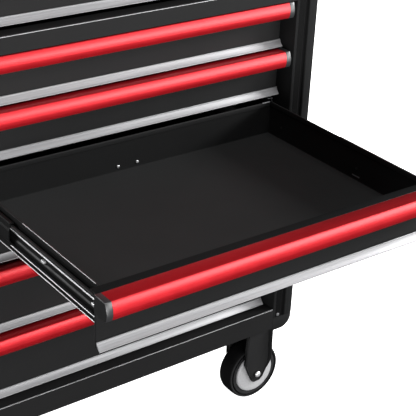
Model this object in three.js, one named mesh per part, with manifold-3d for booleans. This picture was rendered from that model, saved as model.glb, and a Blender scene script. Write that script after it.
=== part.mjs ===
// Rolling tool chest: a sheet-steel cabinet on two rigid and two swivel casters, with seven
// drawers on full-extension ball slides. The fourth drawer stands fully open.
// Millimetres. +Z is up and the drawers face -Y. The origin is on the floor, midway between
// the sides, under the plane of the closed drawer fronts.
import * as THREE from 'three';
import { mergeVertices } from 'three/addons/utils/BufferGeometryUtils.js';
import Module from 'manifold-3d';

const wasm = await Module();
wasm.setup();

// ---------- driving dimensions ----------

const GAP = 0.3; // between pieces that touch
const SHEET = 1.5; // cabinet steel
const THIN = 1.2; // drawer and slide steel

const BODY_DEPTH = 412;
const PANEL = 0; // front plane of the closed drawer panels
const FRONT = PANEL - 26; // front plane of the posts, rail and plinth
const BACK = FRONT + BODY_DEPTH;
const OPENING_X = 277; // half width between the two front posts
const SIDE_X = 321.5; // outer face of a side panel
const GUARD_X = 326.5; // outer face of a corner guard

const BASE_Z = 136.3; // underside of the base pan
const PLINTH_TOP = 173.6;
const GUARD_Z = 129.5; // lower end of a corner guard
const DECK_Z = 848; // underside of the top panel
const TOP_Z = 860; // top of its rim

const SMALL_PITCH = 76;
const LARGE_PITCH = 111;
const RAIL_PITCH = 105; // drawer 1 to drawer 2, across the middle rail
const LOWEST_TRIM = 187; // height of the lowest drawer's trim line
const TRAVEL = 355;
const OPEN_DRAWER = 4;
const DRAWER_COUNT = 7;
const FIRST_LARGE = 6;

const PANEL_X = 269; // half width of a drawer front
const HANDLE_X = 272; // half width of a handle
const FOLD = 13.5; // depth of the fold along the top of a drawer front
const END_FOLD = 3; // depth of the returns at its two ends
const TRAY_X = 253.6; // outer face of a drawer's side wall
const TRAY_DEPTH = 347;
const TRAY_FLOOR = 5.6; // underside of the drawer above its trim line
const WALL_TOP = 57.9; // top of a small drawer's walls above its trim line
const HANDLE_TOP = 62.3; // top of a small drawer's handle above its trim line
const LARGE_EXTRA = LARGE_PITCH - SMALL_PITCH;

const SLIDE_Z = 35; // middle of a slide above the trim line
const SLIDE_FROM = PANEL + 3;
const SLIDE_LENGTH = 345;
const SLIDE_OUTER_X = 266.4;

const WHEEL_R = 51;
const WHEEL_HALF = 16;
const AXLE_R = 5;
const HUB_HALF = 18.8; // the hub's face from the wheel's middle plane
const LEG_INNER = 20; // fork leg's inner face from the wheel's middle plane
const LEG_OUTER = 23;
const RIGID_X = 255.5;
const SWIVEL_X = -220;
const TRAIL = 28; // axle behind the swivel axis
const FRONT_CASTER_Y = FRONT + 29;
const REAR_CASTER_Y = BACK - 44;
const PEDAL_BACK = 58; // pedal pin behind the swivel axis
const PEDAL_Z = 101;

// ---------- solids ----------

function toSolid(geometry) {
  const bare = geometry.index ? geometry.toNonIndexed() : geometry.clone();
  bare.deleteAttribute('normal');
  bare.deleteAttribute('uv');
  const merged = mergeVertices(bare, 1e-4);
  const vertProperties = new Float32Array(merged.attributes.position.array);
  const triVerts = new Uint32Array(merged.index.array);
  return new wasm.Manifold(new wasm.Mesh({ numProp: 3, vertProperties, triVerts }));
}

function toGeometry(solid) {
  const mesh = solid.getMesh();
  const geometry = new THREE.BufferGeometry();
  geometry.setAttribute('position', new THREE.BufferAttribute(new Float32Array(mesh.vertProperties), 3));
  geometry.setIndex(new THREE.BufferAttribute(new Uint32Array(mesh.triVerts), 1));
  geometry.computeVertexNormals();
  return geometry;
}

function join(...solids) {
  return solids.reduce((whole, next) => whole.add(next));
}

function box(x, y, z) {
  const [x0, x1] = [Math.min(...x), Math.max(...x)];
  const [y0, y1] = [Math.min(...y), Math.max(...y)];
  const [z0, z1] = [Math.min(...z), Math.max(...z)];
  const geometry = new THREE.BoxGeometry(x1 - x0, y1 - y0, z1 - z0);
  geometry.translate((x0 + x1) / 2, (y0 + y1) / 2, (z0 + z1) / 2);
  return toSolid(geometry);
}

function outline(points) {
  return new THREE.Shape(points.map(([a, b]) => new THREE.Vector2(a, b)));
}

function extrude(shape, depth, curveSegments = 6) {
  return new THREE.ExtrudeGeometry(shape, { depth, bevelEnabled: false, curveSegments });
}

// An outline in (y, z), drawn out along X.
function alongX(shape, x0, x1) {
  const geometry = extrude(shape, x1 - x0);
  geometry.applyMatrix4(new THREE.Matrix4().set(0, 0, 1, x0, 1, 0, 0, 0, 0, 1, 0, 0, 0, 0, 0, 1));
  return toSolid(geometry);
}

// An outline in (x, z), drawn out along Y.
function alongY(shape, y0, y1) {
  const geometry = extrude(shape, y1 - y0);
  geometry.rotateX(Math.PI / 2);
  geometry.translate(0, y1, 0);
  return toSolid(geometry);
}

// An outline in (x, y), drawn out along Z.
function alongZ(shape, z0, z1) {
  const geometry = extrude(shape, z1 - z0);
  geometry.translate(0, 0, z0);
  return toSolid(geometry);
}

function rod(radius, length, segments = 20) {
  return new THREE.CylinderGeometry(radius, radius, length, segments);
}

function rodY(radius, x, z, y0, y1, segments) {
  const geometry = rod(radius, y1 - y0, segments);
  geometry.translate(x, (y0 + y1) / 2, z);
  return toSolid(geometry);
}

function rodZ(radius, x, y, z0, z1, segments) {
  const geometry = rod(radius, z1 - z0, segments);
  geometry.rotateX(Math.PI / 2);
  geometry.translate(x, y, (z0 + z1) / 2);
  return toSolid(geometry);
}

// ---------- finishes ----------

const finishes = {
  blackPaint: { color: 0x2a2a2b, roughness: 0.45, metalness: 0.3 },
  redAlloy: { color: 0xc8141f, roughness: 0.3, metalness: 0.6 },
  brushedAlloy: { color: 0xc6c6c9, roughness: 0.32, metalness: 0.9 },
  zinc: { color: 0xb4b6b8, roughness: 0.3, metalness: 0.9 },
  guard: { color: 0x38393a, roughness: 0.6, metalness: 0.1 },
  tyre: { color: 0x4c4d4f, roughness: 0.7, metalness: 0 },
};

const chest = new THREE.Group();

function place(name, solid, finish, parent = chest) {
  const mesh = new THREE.Mesh(toGeometry(solid), new THREE.MeshStandardMaterial(finishes[finish]));
  mesh.name = name;
  parent.add(mesh);
  return mesh;
}

// ---------- cabinet body ----------

function sidePanel(side) {
  const wallTop = DECK_Z - GAP;
  return box([side * (SIDE_X - SHEET), side * SIDE_X], [FRONT + 20, BACK - SHEET - GAP], [BASE_Z, wallTop]);
}

function backPanel() {
  return box([-SIDE_X, SIDE_X], [BACK - SHEET, BACK], [BASE_Z, DECK_Z - GAP]);
}

// Floor sheet with a plinth channel along its front, between the posts.
function basePan() {
  const reach = OPENING_X - GAP;
  const wide = SIDE_X - SHEET - GAP;
  const step = FRONT + 50;
  const ledge = 24;
  return join(
    box([-wide, wide], [step, BACK - SHEET - GAP], [BASE_Z, BASE_Z + SHEET]),
    box([-reach, reach], [FRONT, step + 1], [BASE_Z, BASE_Z + SHEET]),
    box([-reach, reach], [FRONT, FRONT + SHEET], [BASE_Z, PLINTH_TOP]),
    box([-reach, reach], [FRONT, FRONT + ledge], [PLINTH_TOP - SHEET, PLINTH_TOP]),
  );
}

function channelBar(z0, z1, depth) {
  const reach = OPENING_X - GAP;
  const whole = box([-reach, reach], [FRONT, FRONT + depth], [z0, z1]);
  const hollow = box([-reach - 1, reach + 1], [FRONT + SHEET, FRONT + depth + 1], [z0 + SHEET, z1 - SHEET]);
  return whole.subtract(hollow);
}

// Raised rim round a recessed deck, with an apron down the front between the posts.
function topPanel() {
  const rim = 7;
  const deck = 2;
  const apronBottom = 806.6;
  const whole = box([-GUARD_X, GUARD_X], [FRONT, BACK], [DECK_Z, TOP_Z]);
  const recess = box(
    [-GUARD_X + rim, GUARD_X - rim],
    [FRONT + rim, BACK - rim],
    [DECK_Z + deck, TOP_Z + 1],
  );
  const reach = OPENING_X - GAP;
  const apron = box([-reach, reach], [FRONT, FRONT + SHEET], [apronBottom, DECK_Z + 1]);
  return join(whole.subtract(recess), apron);
}

// Rounded post cover, open at the back and closed at its rounded lower end.
function cornerGuard(side) {
  const wall = 2.5;
  const round = 20;
  const back = FRONT + 48;
  const outer = new THREE.Shape();
  outer.moveTo(OPENING_X, back);
  outer.lineTo(OPENING_X, FRONT);
  outer.lineTo(GUARD_X - round, FRONT);
  outer.absarc(GUARD_X - round, FRONT + round, round, -Math.PI / 2, 0, false);
  outer.lineTo(GUARD_X, back);
  const post = alongZ(outer, GUARD_Z, DECK_Z - GAP);
  const hollow = box(
    [OPENING_X + wall, SIDE_X + GAP],
    [FRONT + wall + 3, back + 1],
    [GUARD_Z + wall, DECK_Z + 1],
  );
  const solid = post.subtract(hollow);
  return side > 0 ? solid : solid.mirror([1, 0, 0]);
}

// ---------- slides ----------

// A rolled channel along Y: a web at webX, and two flanges reaching to tipX.
function channel(side, webX, tipX, halfHeight, z, y0, y1) {
  const away = Math.sign(webX - tipX);
  const whole = box([side * webX, side * tipX], [y0, y1], [z - halfHeight, z + halfHeight]);
  const hollow = box(
    [side * (webX - away * THIN), side * (tipX - away)],
    [y0 - 1, y1 + 1],
    [z - halfHeight + THIN, z + halfHeight - THIN],
  );
  return whole.subtract(hollow);
}

function fixedMember(side, z) {
  return channel(side, SLIDE_OUTER_X, 257.5, 22, z, SLIDE_FROM, SLIDE_FROM + SLIDE_LENGTH);
}

function middleMember(side, z, pulled) {
  const y0 = SLIDE_FROM + 28 - pulled;
  const y1 = SLIDE_FROM + SLIDE_LENGTH - 2 - pulled;
  return channel(side, 264, 256.2, 17.5, z, y0, y1);
}

function drawerMember(side, z, pulled) {
  const y0 = PANEL + THIN - 0.4 - pulled;
  return channel(side, TRAY_X - 0.4, 261.6, 13.5, z, y0, y0 + SLIDE_LENGTH - 2);
}

// Inner wall of the cabinet with the fixed members of all the slides on it.
function innerWall(side, trims) {
  const wall = box(
    [side * (SLIDE_OUTER_X - 0.4), side * (SLIDE_OUTER_X + SHEET)],
    [PANEL + FOLD + 2, SLIDE_FROM + SLIDE_LENGTH],
    [BASE_Z + SHEET + GAP, DECK_Z - GAP],
  );
  return join(wall, ...trims.map((trim) => fixedMember(side, trim + SLIDE_Z)));
}

// ---------- drawers ----------

function trimHeights() {
  const heights = new Array(DRAWER_COUNT + 1).fill(0);
  heights[DRAWER_COUNT] = LOWEST_TRIM;
  for (let n = DRAWER_COUNT - 1; n >= 1; n -= 1) {
    const pitch = n + 1 >= FIRST_LARGE ? LARGE_PITCH : SMALL_PITCH;
    heights[n] = heights[n + 1] + (n === 1 ? RAIL_PITCH : pitch);
  }
  return heights;
}

function tray(trim, extra, pulled) {
  const y0 = PANEL - pulled;
  const wallTop = trim + WALL_TOP + extra;
  const floor = trim + TRAY_FLOOR;
  const panelTop = trim + HANDLE_TOP + extra - 1;
  const panelBottom = trim - 8;
  const shell = box([-TRAY_X, TRAY_X], [y0, y0 + TRAY_DEPTH], [floor, wallTop]);
  const inside = box(
    [-TRAY_X + THIN, TRAY_X - THIN],
    [y0 + THIN, y0 + TRAY_DEPTH - THIN],
    [floor + THIN, wallTop + 1],
  );
  const height = [panelBottom - 1, panelTop - THIN];
  const pan = box([-PANEL_X, PANEL_X], [y0, y0 + FOLD], [panelBottom, panelTop])
    .subtract(box([THIN - PANEL_X, PANEL_X - THIN], [y0 + THIN, y0 + FOLD + 1], height))
    .subtract(box([-PANEL_X - 1, PANEL_X + 1], [y0 + END_FOLD, y0 + FOLD + 1], height));
  const members = [-1, 1].map((side) => drawerMember(side, trim + SLIDE_Z, pulled));
  return join(pan, shell.subtract(inside), ...members);
}

// Full-width hooded grip: flat top, rounded front, open below for the fingers.
function handle(trim, extra, pulled) {
  const y0 = PANEL - pulled - GAP;
  const top = trim + HANDLE_TOP + extra;
  const wall = 2.6;
  const shape = new THREE.Shape();
  shape.moveTo(y0, top);
  shape.lineTo(y0 - 21.5, top);
  shape.bezierCurveTo(y0 - 26, top - 3, y0 - 28, top - 14, y0 - 23.4, top - 24);
  shape.lineTo(y0 - 21.4, top - 23);
  shape.bezierCurveTo(y0 - 25, top - 14, y0 - 23.5, top - 5, y0 - 20, top - wall);
  shape.lineTo(y0 - wall, top - wall);
  shape.lineTo(y0 - wall, top - 24);
  shape.lineTo(y0, top - 24);
  return alongX(shape, -HANDLE_X, HANDLE_X);
}

// Flared trim along the lower edge of a drawer front.
function lipTrim(trim, pulled) {
  const y0 = PANEL - pulled - GAP;
  const shape = new THREE.Shape();
  shape.moveTo(y0, trim);
  shape.lineTo(y0 - 1.2, trim);
  shape.quadraticCurveTo(y0 - 1.6, trim - 6.5, y0 - 8, trim - 9.2);
  shape.lineTo(y0 - 6.6, trim - 10.4);
  shape.quadraticCurveTo(y0 - 2.5, trim - 9, y0, trim - 6);
  return alongX(shape, -PANEL_X, PANEL_X);
}

// ---------- casters ----------

function wheel(x, y) {
  const half = [
    [AXLE_R + GAP, -HUB_HALF],
    [35.6, -HUB_HALF],
    [37.4, -HUB_HALF + 2],
    [39, -WHEEL_HALF + 1],
    [48.6, -WHEEL_HALF],
    [WHEEL_R, -WHEEL_HALF + 2.4],
  ];
  const mirrored = half.map(([radius, along]) => [radius, -along]).reverse();
  const loop = [...half, ...mirrored, half[0]].map(([radius, along]) => new THREE.Vector2(radius, along));
  const geometry = new THREE.LatheGeometry(loop, 32);
  geometry.translate(x, y, WHEEL_R);
  return toSolid(geometry);
}

function axle(x, y) {
  const ends = LEG_OUTER + 4.5;
  return join(
    rodY(AXLE_R, x, WHEEL_R, y - ends, y + ends, 20),
    rodY(7, x, WHEEL_R, y - ends, y - LEG_OUTER + 0.5, 20),
    rodY(7.5, x, WHEEL_R, y + LEG_OUTER - 0.5, y + ends, 6),
  );
}

function legs(shape, y) {
  return join(alongY(shape, y - LEG_OUTER, y - LEG_INNER), alongY(shape, y + LEG_INNER, y + LEG_OUTER));
}

// Each leg widens down to the wheel's shoulder and then tapers to a blunt point.
function rigidFork(x, y) {
  const top = BASE_Z - GAP;
  const underGuard = GUARD_Z - 1;
  const plateHalf = 21;
  const leg = outline([
    [x - 23.3, top],
    [x - 26.3, WHEEL_R + 24],
    [x - 18, WHEEL_R + 4],
    [x - 9.4, WHEEL_R - 12],
    [x - 4.5, WHEEL_R - 15.5],
    [x + 6, WHEEL_R - 15.5],
    [x + 13.3, WHEEL_R - 9],
    [x + 25.5, WHEEL_R + 22],
    [x + 33.5, WHEEL_R + 38],
    [x + 33.5, underGuard],
    [x + plateHalf, underGuard],
    [x + plateHalf, top],
  ]);
  const plate = box([x - plateHalf, x + plateHalf], [y - LEG_OUTER, y + LEG_OUTER], [top - 3, top]);
  return join(legs(leg, y), plate, axle(x, y));
}

const RACE_Z = 119;

function swivelPlate(x, y) {
  const top = BASE_Z - GAP;
  return join(
    box([x - 40, x + 40], [y - 28, y + 28], [top - 3, top]),
    rodZ(27, x, y, RACE_Z, top - 2, 32),
    rodZ(AXLE_R, x, y, 105, RACE_Z + 1, 20),
  );
}

function swivelFork(x, y) {
  const crownTop = RACE_Z - GAP;
  const axleX = x - TRAIL;
  const foot = 14;
  const shape = new THREE.Shape();
  shape.moveTo(x + 24, crownTop);
  shape.lineTo(x + 24, 106);
  shape.lineTo(axleX + foot, WHEEL_R);
  shape.absarc(axleX, WHEEL_R, foot, 0, -Math.PI, true);
  shape.lineTo(x - PEDAL_BACK - 7, PEDAL_Z - 2);
  shape.absarc(x - PEDAL_BACK, PEDAL_Z, 7, Math.PI, Math.PI * 0.55, true);
  shape.lineTo(x - 30, crownTop);
  const crown = join(
    box([x - 24, x + 24], [y - LEG_OUTER, y + LEG_OUTER], [111, crownTop]),
    rodZ(27, x, y, 113, crownTop, 32),
  );
  const kingpinHole = rodZ(AXLE_R + GAP, x, y, 100, 130, 20);
  const pinHole = rodY(3.3, x - PEDAL_BACK, PEDAL_Z, y - 30, y + 30, 16);
  return join(legs(shape, y), crown, axle(axleX, y)).subtract(kingpinHole).subtract(pinHole);
}

function brakePedal(x, y) {
  const pivot = x - PEDAL_BACK;
  const shape = outline([
    [pivot + 5, PEDAL_Z - 3],
    [pivot + 5, PEDAL_Z + 5],
    [pivot - 14, PEDAL_Z + 6],
    [pivot - 46, PEDAL_Z - 2],
    [pivot - 48, PEDAL_Z - 9],
    [pivot - 44, PEDAL_Z - 10],
    [pivot - 14, PEDAL_Z - 1],
  ]);
  const pin = rodY(3, pivot, PEDAL_Z, y - LEG_OUTER - 1, y + LEG_OUTER + 1, 16);
  return join(alongY(shape, y - LEG_INNER + 1, y + LEG_INNER - 1), pin);
}

// ---------- assembly ----------

const trims = trimHeights();

for (const [word, side] of [['left', -1], ['right', 1]]) {
  place(`side_panel_${word}`, sidePanel(side), 'blackPaint');
  place(`corner_guard_${word}`, cornerGuard(side), 'guard');
  place(`inner_wall_${word}`, innerWall(side, trims.slice(1)), 'zinc');
}
place('back_panel', backPanel(), 'blackPaint');
place('base_pan', basePan(), 'blackPaint');
place('mid_rail', channelBar(701.6, 725.2, 24), 'blackPaint');
place('top_panel', topPanel(), 'blackPaint');

for (let n = 1; n <= DRAWER_COUNT; n += 1) {
  const extra = n >= FIRST_LARGE ? LARGE_EXTRA : 0;
  const pulled = n === OPEN_DRAWER ? TRAVEL : 0;
  const drawer = new THREE.Group();
  place(`drawer_${n}_tray`, tray(trims[n], extra, pulled), 'blackPaint', drawer);
  place(`drawer_${n}_handle`, handle(trims[n], extra, pulled), 'redAlloy', drawer);
  place(`drawer_${n}_lip_trim`, lipTrim(trims[n], pulled), 'brushedAlloy', drawer);
  for (const [word, side] of [['left', -1], ['right', 1]]) {
    const member = middleMember(side, trims[n] + SLIDE_Z, pulled / 2);
    place(`drawer_${n}_slide_${word}`, member, 'zinc', drawer);
  }
  chest.add(drawer);
}

for (const [word, y] of [['front', FRONT_CASTER_Y], ['rear', REAR_CASTER_Y]]) {
  place(`rigid_fork_${word}`, rigidFork(RIGID_X, y), 'blackPaint');
  place(`rigid_wheel_${word}`, wheel(RIGID_X, y), 'tyre');
  place(`swivel_plate_${word}`, swivelPlate(SWIVEL_X, y), 'blackPaint');
  place(`swivel_fork_${word}`, swivelFork(SWIVEL_X, y), 'blackPaint');
  place(`swivel_wheel_${word}`, wheel(SWIVEL_X - TRAIL, y), 'tyre');
  place(`brake_pedal_${word}`, brakePedal(SWIVEL_X, y), 'guard');
}

export default chest;
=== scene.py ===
"""Looks of the rolling tool chest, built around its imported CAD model.

Lengths are in millimetres up to the point where a vertex is made, in the frame of the CAD:
x runs across the chest, y from its front to its back, z up.
"""

import math

import bmesh
import bpy
from mathutils import Matrix, Vector


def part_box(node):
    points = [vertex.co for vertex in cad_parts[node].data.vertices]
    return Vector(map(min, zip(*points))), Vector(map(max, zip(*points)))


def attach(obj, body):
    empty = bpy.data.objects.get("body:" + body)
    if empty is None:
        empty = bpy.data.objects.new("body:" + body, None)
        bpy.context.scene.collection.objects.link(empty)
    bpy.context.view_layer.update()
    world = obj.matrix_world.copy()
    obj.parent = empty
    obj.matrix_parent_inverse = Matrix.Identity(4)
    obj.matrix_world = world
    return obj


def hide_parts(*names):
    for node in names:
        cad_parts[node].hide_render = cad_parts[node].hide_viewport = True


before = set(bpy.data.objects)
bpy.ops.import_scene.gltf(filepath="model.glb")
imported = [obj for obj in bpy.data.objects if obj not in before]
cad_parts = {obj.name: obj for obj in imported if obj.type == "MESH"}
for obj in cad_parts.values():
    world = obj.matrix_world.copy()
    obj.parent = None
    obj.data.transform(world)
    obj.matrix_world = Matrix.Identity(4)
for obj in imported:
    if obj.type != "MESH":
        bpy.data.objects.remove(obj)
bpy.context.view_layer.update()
MM = 0.001
SIDES = (("left", -1), ("right", 1))
ENDS = (("front", -1), ("rear", 1))

# ---------------------------------------------------------------- materials


class Nodes:
    """A material's node tree, with short calls for the nodes the finishes are made of."""

    def __init__(self, name):
        self.material = bpy.data.materials.new(name)
        self.material.use_nodes = True
        self.tree = self.material.node_tree
        self.shader = self.tree.nodes["Principled BSDF"]
        self.coords = self.tree.nodes.new("ShaderNodeTexCoord").outputs["Object"]

    def link(self, a, b):
        self.tree.links.new(a, b)

    def set(self, **values):
        for key, value in values.items():
            self.shader.inputs[key.replace("_", " ")].default_value = value

    def stretched(self, scale):
        node = self.tree.nodes.new("ShaderNodeMapping")
        node.inputs["Scale"].default_value = scale
        self.link(self.coords, node.inputs["Vector"])
        return node.outputs["Vector"]

    def noise(self, scale, detail=3.0, roughness=0.55, vector=None):
        node = self.tree.nodes.new("ShaderNodeTexNoise")
        node.inputs["Scale"].default_value = scale
        node.inputs["Detail"].default_value = detail
        node.inputs["Roughness"].default_value = roughness
        self.link(vector or self.coords, node.inputs["Vector"])
        return node.outputs["Fac"]

    def ramp(self, value, low, high, start=0.3, end=0.7):
        node = self.tree.nodes.new("ShaderNodeMapRange")
        node.inputs["From Min"].default_value = start
        node.inputs["From Max"].default_value = end
        node.inputs["To Min"].default_value = low
        node.inputs["To Max"].default_value = high
        self.link(value, node.inputs["Value"])
        return node.outputs["Result"]

    def blend_colors(self, factor, a, b):
        node = self.tree.nodes.new("ShaderNodeMix")
        node.data_type = "RGBA"
        for socket, value in (("A", a), ("B", b)):
            target = [s for s in node.inputs if s.name == socket and s.type == "RGBA"][0]
            target.default_value = (*value, 1.0)
        self.link(factor, node.inputs["Factor"])
        return [s for s in node.outputs if s.type == "RGBA"][0]

    def bump(self, height, distance, strength=1.0, normal=None):
        node = self.tree.nodes.new("ShaderNodeBump")
        node.inputs["Distance"].default_value = distance
        node.inputs["Strength"].default_value = strength
        self.link(height, node.inputs["Height"])
        if normal is not None:
            self.link(normal, node.inputs["Normal"])
        return node.outputs["Normal"]

    def color(self, socket):
        self.link(socket, self.shader.inputs["Base Color"])

    def roughness(self, socket):
        self.link(socket, self.shader.inputs["Roughness"])

    def normal(self, socket):
        self.link(socket, self.shader.inputs["Normal"])


def scaled(color, k):
    return tuple(c * k for c in color)


def powder_coat(name, color, rough, peel=0.00006, grain=1400.0, specular=0.12):
    """Baked powder paint: fine orange peel over a slow, faint unevenness of colour and gloss."""
    n = Nodes(name)
    n.set(Specular_IOR_Level=specular)
    slow = n.noise(7.0, 4.0)
    n.color(n.blend_colors(n.ramp(slow, 0.0, 1.0), scaled(color, 0.94), scaled(color, 1.06)))
    n.roughness(n.ramp(n.noise(23.0, 5.0), rough - 0.015, rough + 0.02))
    fine = n.bump(n.noise(grain, 2.0), peel)
    n.normal(n.bump(n.noise(160.0, 2.0), peel * 1.5, 0.6, fine))
    return n.material


def brushed_metal(name, color, rough):
    """Metal brushed along X: long fine scratches in the colour, the gloss and the relief."""
    n = Nodes(name)
    n.set(Metallic=0.8, Anisotropic=0.4)
    scratches = n.noise(1.0, 4.0, 0.7, n.stretched((6.0, 900.0, 900.0)))
    n.color(n.blend_colors(n.ramp(scratches, 0.0, 1.0), scaled(color, 0.8), scaled(color, 1.16)))
    n.roughness(n.ramp(scratches, rough - 0.06, rough + 0.1))
    n.normal(n.bump(n.noise(1300.0, 3.0), 0.00006, 0.8, n.bump(scratches, 0.00004)))
    return n.material


def plated_steel(name, color, rough, metallic=1.0):
    """Plated steel: cloudy patches and a faint rolling grain from front to back."""
    n = Nodes(name)
    n.set(Metallic=metallic)
    clouds = n.noise(60.0, 4.0)
    grain = n.noise(1.0, 3.0, 0.6, n.stretched((700.0, 9.0, 700.0)))
    n.color(n.blend_colors(n.ramp(clouds, 0.0, 1.0), scaled(color, 0.8), scaled(color, 1.08)))
    n.roughness(n.ramp(clouds, rough - 0.05, rough + 0.1))
    n.normal(n.bump(grain, 0.00002))
    return n.material


def red_finish(name):
    """Red metallic lacquer under a satin clear coat, with faint draw lines along the extrusion."""
    n = Nodes(name)
    n.set(Metallic=0.72, Coat_Weight=0.6, Coat_Roughness=0.28, Coat_IOR=1.5)
    lines = n.noise(1.0, 3.0, 0.6, n.stretched((4.0, 420.0, 420.0)))
    deep, bright = (0.47, 0.004, 0.01), (0.54, 0.007, 0.015)
    n.color(n.blend_colors(n.ramp(lines, 0.0, 1.0), deep, bright))
    n.roughness(n.ramp(n.noise(90.0, 4.0), 0.42, 0.5))
    n.normal(n.bump(lines, 0.00001, 1.0, n.bump(n.noise(1500.0, 2.0), 0.00001)))
    return n.material


def moulded_plastic(name, color, rough, grain, depth, specular=0.5):
    """Moulded plastic with a fine spark-eroded grain."""
    n = Nodes(name)
    n.set(Specular_IOR_Level=specular)
    cells = n.noise(grain, 3.0, 0.65)
    n.color(n.blend_colors(n.ramp(cells, 0.0, 1.0), scaled(color, 0.85), scaled(color, 1.15)))
    n.roughness(n.ramp(n.noise(40.0, 3.0), rough - 0.04, rough + 0.06))
    n.normal(n.bump(cells, depth))
    return n.material


def rubber(name, color):
    """Tyre rubber: dull, with scuffed dusty patches and a fine moulded texture."""
    n = Nodes(name)
    n.set(Specular_IOR_Level=0.08)
    scuff = n.noise(45.0, 6.0, 0.7)
    n.color(n.blend_colors(n.ramp(scuff, 0.0, 1.0, 0.45, 0.75), color, scaled(color, 1.9)))
    n.roughness(n.ramp(scuff, 0.55, 0.8))
    n.normal(n.bump(n.noise(700.0, 3.0), 0.00005))
    return n.material


PAINT = powder_coat("black_powder_coat", (0.0102, 0.0102, 0.0104), 0.48)
# Painted light and shade: the tray walls take a darker copy of the black paint, and the faces that
# look up a lighter one.
TRAY_SHADE_PAINT = powder_coat(
    "drawer_painted_shade_coat", (0.0085, 0.0086, 0.0087), 0.55, grain=1100.0, specular=0.06
)
# Painted shade: a darker, less glossy copy of the black paint for the flat top of each front's
# fold.
FOLD_SHADE_PAINT = powder_coat("fold_painted_shade", (0.0082, 0.0084, 0.0085), 0.6, specular=0.03)
# Painted light: the lighter copy of the black paint, for the tray floors and the top panel.
UPWARD_LIT_PAINT = powder_coat(
    "upward_painted_light_coat", (0.0198, 0.0203, 0.0204), 0.6, grain=900.0, specular=0.06
)
SIDE_PAINT = powder_coat("body_powder_coat", (0.02, 0.02, 0.0203), 0.5, 0.00009, 900.0, 0.1)
RED = red_finish("red_lacquer")
TRIM = brushed_metal("brushed_aluminium", (0.265, 0.265, 0.271), 0.58)
# Painted shade: a near-black copy of the brushed aluminium, for the trim's faces that look down or
# back.
TRIM_SHADE = brushed_metal("brushed_painted_shade", (0.035, 0.035, 0.036), 0.6)
RACK = plated_steel("rack_zinc", (0.3, 0.3, 0.31), 0.4)
# Lit and shaded copies of the slide's plated steel: a near-black body and a blacker copy as painted
# shade, a bright copy for rods as painted highlights.
RAIL = plated_steel("rail_body_painted_shade", (0.02, 0.02, 0.0205), 0.5, 0.45)
RAIL_HIGHLIGHT = plated_steel("rail_painted_highlight", (0.5, 0.5, 0.51), 0.34, 0.75)
RAIL_SHADE = powder_coat("rail_painted_shade", (0.008, 0.008, 0.0082), 0.5, specular=0.08)
CHROME = plated_steel("bright_plate", (0.78, 0.78, 0.79), 0.33, 0.75)
# Painted highlight: a bright metal for thin lines where edges catch the light.
EDGE_HIGHLIGHT = plated_steel("painted_edge_highlight", (0.4, 0.4, 0.41), 0.4, 0.7)
CAP = moulded_plastic("cap_plastic", (0.02, 0.02, 0.021), 0.38, 1300.0, 0.00002, 0.9)
# Painted shade: a darker, duller copy of the cap plastic for the caps' flat ends.
CAP_END_SHADE = moulded_plastic(
    "cap_end_painted_shade", (0.014, 0.014, 0.0143), 0.6, 1300.0, 0.00003, 0.08
)
GUARD = moulded_plastic(
    "guard_plastic", (0.0095, 0.0097, 0.0099), 0.5, 900.0, 0.00006, 0.08
)
# Painted shade: a darker copy of the guard's plastic for its recessed band.
GUARD_BAND_SHADE = moulded_plastic("guard_band_painted_shade", (0.0032, 0.0032, 0.0033), 0.55, 900.0, 0.00006, 0.06)
PLUG = moulded_plastic("plug_plastic", (0.011, 0.0112, 0.0114), 0.42, 1200.0, 0.00003, 0.2)
DULL = plated_steel("dull_rivet", (0.16, 0.16, 0.165), 0.52, 0.6)
TYRE = rubber("tyre_rubber", (0.0135, 0.0135, 0.014))
# Painted shade: a darker copy of the tyre rubber for its tread and side groove.
TYRE_SHADE = rubber("tyre_painted_shade", (0.0035, 0.0035, 0.0037))
HUB = moulded_plastic("hub_plastic", (0.33, 0.33, 0.337), 0.45, 600.0, 0.00004)
FORK = powder_coat("fork_paint", (0.0128, 0.0128, 0.0131), 0.42, 0.00008, 700.0)
PEDAL = moulded_plastic("pedal_plastic", (0.02, 0.02, 0.021), 0.45, 800.0, 0.00006)

# ------------------------------------------------------------ mesh helpers


def smooth(mesh, sharp):
    """Shades a mesh smooth, except across edges sharper than that angle."""
    for polygon in mesh.polygons:
        polygon.use_smooth = True
    mesh.set_sharp_from_angle(angle=math.radians(sharp))


def new_object(name, bm, material, sharp=32.0):
    bmesh.ops.recalc_face_normals(bm, faces=bm.faces)
    mesh = bpy.data.meshes.new(name)
    bm.to_mesh(mesh)
    bm.free()
    mesh.materials.append(material)
    smooth(mesh, sharp)
    obj = bpy.data.objects.new(name, mesh)
    bpy.context.scene.collection.objects.link(obj)
    return obj


def bevel(obj, width, segments=2, angle=35.0):
    modifier = obj.modifiers.new("edges", "BEVEL")
    modifier.width = width * MM
    modifier.segments = segments
    modifier.limit_method = "ANGLE"
    modifier.angle_limit = math.radians(angle)
    return obj


def thicken(obj, thickness):
    modifier = obj.modifiers.new("sheet", "SOLIDIFY")
    modifier.thickness = thickness * MM
    modifier.offset = -1.0
    modifier.use_even_offset = True
    return obj


def cut(obj, *cutters):
    """Subtracts the cutters from obj, and removes them."""
    for cutter in cutters:
        modifier = obj.modifiers.new("cut", "BOOLEAN")
        modifier.operation = "DIFFERENCE"
        modifier.solver = "EXACT"
        modifier.object = cutter
    settle(obj)
    for cutter in cutters:
        bpy.data.objects.remove(cutter)
    return obj


def settle(obj, sharp=32.0):
    """Applies obj's modifiers."""
    bpy.context.view_layer.update()
    graph = bpy.context.evaluated_depsgraph_get()
    mesh = bpy.data.meshes.new_from_object(obj.evaluated_get(graph))
    obj.modifiers.clear()
    obj.data = mesh
    smooth(mesh, sharp)
    return obj


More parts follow.
